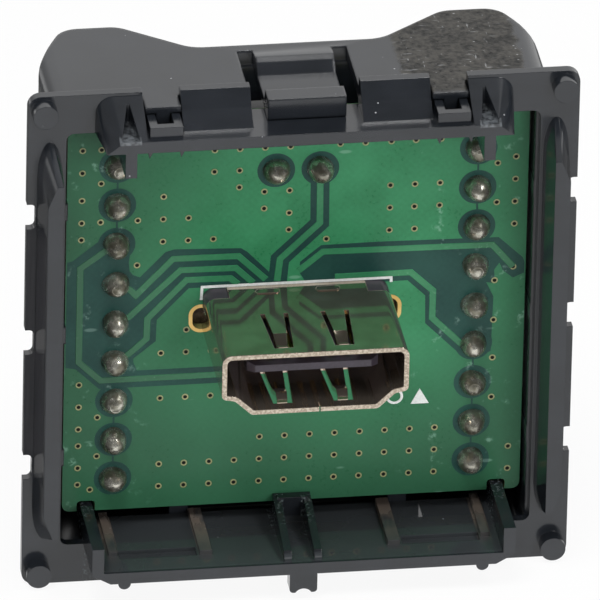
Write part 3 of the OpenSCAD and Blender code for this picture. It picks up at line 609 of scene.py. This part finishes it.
landShells = [band(oblong((side * art["landAt"], 0), art["landWide"], art["landTall"]),
                   oblong((side * art["landAt"], 0), *art["landSlot"]), art["landProud"]) for side in (-1, 1)]
link(shellMesh("leg_lands", landShells, metalFinish("gilt_land", landLook)))
ringShells = [band(circle(at, viaLook["ring"], viaLook["sides"]),
                   circle(at, viaLook["bore"], viaLook["sides"]), art["landProud"]) for at in vias]
link(shellMesh("via_rings", ringShells, plainFinish("dull_ring", ringLook)))
# dark discs laid on the vias as painted shade, where the holes would look dark
boreShadeShells = [slab(circle(at, viaLook["bore"], viaLook["sides"]), art["boreProud"]) for at in vias]
link(shellMesh("via_bore_shade", boreShadeShells, plainFinish("via_shade", boreShadeLook)))
print("board artwork:", len(vias), "vias")

# solder domes
domeLook = {"foot": 1.05, "rise": 1.5, "vary": 0.1, "around": 32, "lump": 0.035, "lean": 0.07,
            "smoothTo": 40.0}
solderLook = {"dark": tone(142, 140, 128), "pale": tone(210, 208, 196), "flux": tone(98, 94, 76),
              "rough": 0.25, "metal": 0.82}
# solder on the socket's legs: brown flux, darkened further as painted shade so the leg holes read dark
shadedTailLook = {"dark": tone(66, 54, 40), "pale": tone(104, 88, 66), "flux": tone(44, 32, 22), "rough": 0.45,
            "metal": 0.5}


# a lathe form: radius falls as a cosine while height rises as a sine, over a short upright foot;
# two slow waves round it, a lean and a height, each turned by its number, set every one apart
def dome(at, number, look):
    arc = np.radians(np.linspace(0, 86, 13))
    radius = look["foot"] * np.concatenate([[1.02, 1.01], np.cos(arc[1:])])
    rise = look["rise"] * (1 + look["vary"] * math.sin(2.1 * number))
    height = np.concatenate([[0.0, 0.04], rise * np.sin(arc[1:])])
    turn = np.arange(look["around"]) * 2 * np.pi / look["around"]
    wave = look["lump"] * (np.cos(2 * turn + 2.4 * number) + 0.6 * np.cos(3 * turn + 1.7 * number))
    share = (height / rise)[:, None]
    reach = radius[:, None] * (1 + wave * (1 - share ** 3))
    lean = look["lean"] * share * (1 - 0.5 * share)
    x = at[0] + reach * np.cos(turn) + lean * math.cos(3.9 * number)
    z = at[1] + reach * np.sin(turn) + lean * math.sin(3.9 * number)
    y = np.broadcast_to(boardFace - height[:, None], x.shape)
    return np.stack([x, y, z], -1), False


solderFinished = solderFinish("fluxed_solder", solderLook)
for label, joints, first in (("left", leftJoints, 0), ("right", rightJoints, 9), ("top", topJoints, 18)):
    shells = [dome(at, first + i, domeLook) for i, at in enumerate(joints)]
    domes = shellMesh(label + "_solder_domes", shells, solderFinished, domeLook["smoothTo"])
    link(domes, label + "_solder_joints")
print("solder domes made")

# nodes that stay as they are get a finish
blockLook = {"dark": tone(36, 36, 38), "pale": tone(48, 48, 51), "rough": 0.42, "gloss": 0.5, "soft": 0.12}
steel = {"dark": tone(168, 166, 160), "pale": tone(204, 202, 196), "tarnish": tone(120, 112, 100),
         "rough": 0.3, "along": (5.0, 0.5, 5.0), "wave": 0.15}
blockFinish = plainFinish("dark_block", blockLook)
steelFinish = metalFinish("plated_steel", steel)
keptFinishes = {"circuit_board": boardFinish, "upper_contacts": giltFinish, "lower_contacts": giltFinish,
                # the leg solder's dark tone is partly flux and partly painted shade
                "receptacle_solder": solderFinish("browned_and_shaded_solder", shadedTailLook)}
for label in ("left", "right", "top"):
    keptFinishes[label + "_terminal_pins"] = solderFinished
    keptFinishes[label + "_clamp_cages"] = steelFinish
    keptFinishes[label + "_clamp_screws"] = steelFinish
    keptFinishes[label + "_terminal_housing"] = blockFinish
for nodeName, finish in keptFinishes.items():
    cadNodes[nodeName].data.materials.clear()
    cadNodes[nodeName].data.materials.append(finish)
print("finishes set:", len(keptFinishes))

# studio: a white room with a pale floor and soft lamps; mirror rays find it darker round the camera
# and at both sides, and each such zone is given as where it starts and where it is full
white = (1.0, 1.0, 1.0, 1.0)
black = (0.0, 0.0, 0.0, 1.0)
studio = {
    "floor": -21.8, "reach": 4000.0, "paper": (0.86, 0.86, 0.86, 1.0), "glow": 0.92, "ambient": 0.42,
    "shade": 0.1, "sideShade": 0.85,
    "roomDark": {"camera": (0.1, 0.6), "left": (-0.25, -0.6), "right": (0.55, 0.75)},
    "floorDark": {"left": (-21.0, -26.0), "leftFrom": (-70.0, -50.0),
                  "right": (26.0, 36.0), "rightFrom": (-12.0, -4.0), "upTo": (190.0, 150.0)},
    "lamps": [
        {"name": "top_soft", "at": (-150, -250, 620), "size": 320, "power": 2.6, "lights": ("diffuse",)},
        {"name": "front_fill", "at": (250, -650, 120), "size": 320, "power": 1.9, "lights": ("diffuse",)},
        {"name": "satin_key", "at": (325, -195, 526), "size": 150, "power": 1.2,
         "lights": ("diffuse", "glossy")},
        {"name": "edge_light", "at": (95, 227, 655), "size": 100, "power": 0.4, "lights": ("glossy",)},
    ],
}


# one when the ray is a camera, mirror or glass ray
def seenRay(base):
    rays = [base.make("LightPath", None, None, name) for name in
            ("Is Camera Ray", "Is Glossy Ray", "Is Transmission Ray")]
    return rays[0].larger(rays[1]).larger(rays[2])


# one flat square: diffuse paper that camera and mirror rays see as nearly white, dark in the side zones
def layFloor(look):
    reach = look["reach"]
    corners = np.array([(-reach, -reach, look["floor"]), (reach, -reach, look["floor"]),
                        (reach, reach, look["floor"]), (-reach, reach, look["floor"])]) * mm
    mesh = bpy.data.meshes.new("studio_floor")
    mesh.from_pydata(corners, [], [(0, 1, 2, 3)])
    material = bpy.data.materials.new("pale_floor")
    material.use_nodes = True
    tree = material.node_tree
    tree.nodes.clear()
    base = Wire(tree)
    paper = base.make("BsdfDiffuse", None, {"Color": look["paper"]})
    glow = base.make("Emission", None, {"Color": white, "Strength": 1.0})
    unlit = base.make("Emission", None, {"Color": black})
    spot = base.make("TexCoord", None, None, "Object")
    glossy = base.make("LightPath", None, None, "Is Glossy Ray")
    across, along = spot.axis(0) * (1.0 / mm), spot.axis(1) * (1.0 / mm)
    zone = look["floorDark"]
    leftDark = across.ease(*zone["left"]) * along.ease(*zone["leftFrom"])
    rightDark = across.ease(*zone["right"]) * along.ease(*zone["rightFrom"])
    sideDark = leftDark.larger(rightDark) * along.ease(*zone["upTo"]) * glossy * look["sideShade"]
    bright = base.make("MixShader", None, {0: seenRay(base) * look["glow"], 1: paper, 2: glow})
    mixed = base.make("MixShader", None, {0: sideDark, 1: bright, 2: unlit})
    base.make("OutputMaterial", None, {"Surface": mixed})
    mesh.materials.append(material)
    floor = bpy.data.objects.new("studio_floor", mesh)
    scene.collection.objects.link(floor)


# a plain grey world for diffuse rays, white for the rest, dimmed in the zones that mirror rays find dark;
# each lamp is a disk turned to the origin
def lightRoom(look):
    world = bpy.data.worlds.new("studio_world")
    scene.world = world
    world.use_nodes = True
    tree = world.node_tree
    tree.nodes.clear()
    base = Wire(tree)
    heading = base.make("TexCoord", None, None, "Generated")
    facing = base.make("VectorMath", {"operation": "DOT_PRODUCT"},
                       {0: heading, 1: tuple(towardCamera)}, "Value")
    camera = base.make("LightPath", None, None, "Is Camera Ray")
    zone = look["roomDark"]
    sideways = heading.axis(0).ease(*zone["left"]).larger(heading.axis(0).ease(*zone["right"]))
    dark = facing.ease(*zone["camera"]).larger(sideways * look["sideShade"]) * (1.0 - camera)
    room = base.make("Background", None, {"Color": white, "Strength": look["ambient"]})
    bright = base.make("Background", None, {"Color": white, "Strength": 1.0})
    dim = base.make("Background", None, {"Color": white, "Strength": look["shade"]})
    shaded = base.make("MixShader", None, {0: dark, 1: bright, 2: dim})
    mixed = base.make("MixShader", None, {0: seenRay(base), 1: room, 2: shaded})
    base.make("OutputWorld", None, {"Surface": mixed})
    for lamp in look["lamps"]:
        data = bpy.data.lights.new(lamp["name"], "AREA")
        data.shape = "DISK"
        data.size = lamp["size"] * mm
        data.energy = lamp["power"]
        light = bpy.data.objects.new(lamp["name"], data)
        place = Vector(lamp["at"]) * mm
        light.matrix_world = Matrix.Translation(place) @ place.to_track_quat("Z", "Y").to_matrix().to_4x4()
        light.visible_diffuse = "diffuse" in lamp["lights"]
        light.visible_glossy = "glossy" in lamp["lights"]
        scene.collection.objects.link(light)


layFloor(studio)
lightRoom(studio)
print("studio lit")
